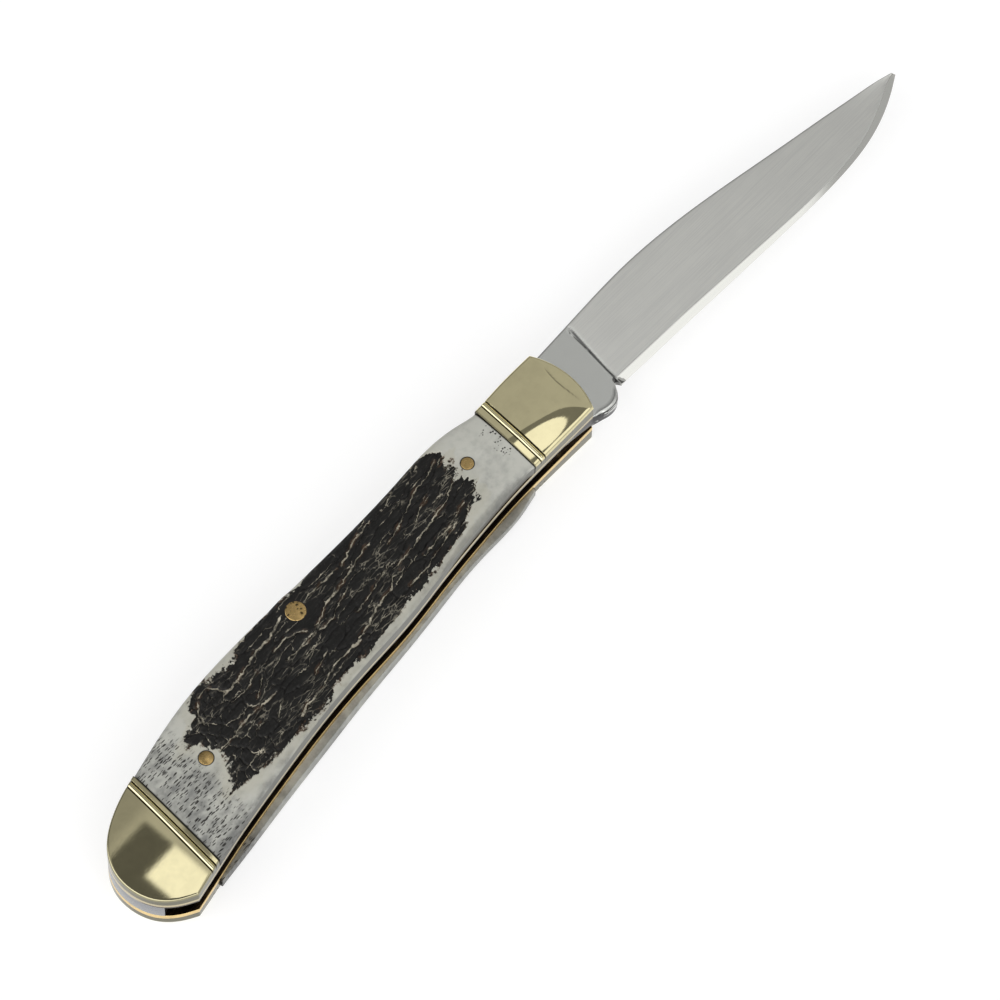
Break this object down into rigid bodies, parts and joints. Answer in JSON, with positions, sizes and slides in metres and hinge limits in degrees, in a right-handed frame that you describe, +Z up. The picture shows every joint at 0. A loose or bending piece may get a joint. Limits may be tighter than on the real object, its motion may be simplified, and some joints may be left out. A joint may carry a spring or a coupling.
{
  "type": "folding pocket knife",
  "caption": "Slim single-blade folding pocket knife, open, with stag scales, polished nickel silver bolsters, brass liners and a clip-point blade held by a backspring.",
  "frame": {"origin": "on the blade's pivot axis, in the plane that the knife lies on", "axes": "+X along the open blade to its tip, +Y to the back with the spring, +Z up through the thickness"},
  "size_m": [0.1785, 0.0243, 0.0104],
  "materials": {
    "blade_steel": "satin, brushed",
    "spring_steel": "polished steel",
    "nickel_silver": "mirror polished, warm",
    "liner_brass": "polished edge",
    "pin_brass": "peened and spotted",
    "stag": "stag antler: dark fissured bark with worn pale zones"
  },
  "bodies": {
    "handle": {"backspring": "spring_steel", "mark_side_front_bolster": "nickel_silver", "mark_side_front_bolster_rivet": "nickel_silver", "mark_side_front_scale_pin": "pin_brass", "mark_side_liner": "liner_brass", "mark_side_rear_bolster": "nickel_silver", "mark_side_rear_bolster_rivet": "nickel_silver", "mark_side_rear_scale_pin": "pin_brass", "mark_side_scale": "stag", "pile_side_front_bolster": "nickel_silver", "pile_side_front_bolster_rivet": "nickel_silver", "pile_side_front_scale_pin": "pin_brass", "pile_side_liner": "liner_brass", "pile_side_rear_bolster": "nickel_silver", "pile_side_rear_bolster_rivet": "nickel_silver", "pile_side_rear_scale_pin": "pin_brass", "pile_side_scale": "stag", "pivot_pin": "nickel_silver", "rear_pin": "nickel_silver", "spring_pin": "pin_brass"},
    "blade": {"blade": "blade_steel"}
  },
  "joints": [
    {"name": "blade_fold", "type": "hinge", "parent": "handle", "child": "blade", "pos_m": [0, 0, 0.0052], "axis": [0, 0, -1], "range_deg": [0, 177], "deforming": ["backspring"]}
  ]
}
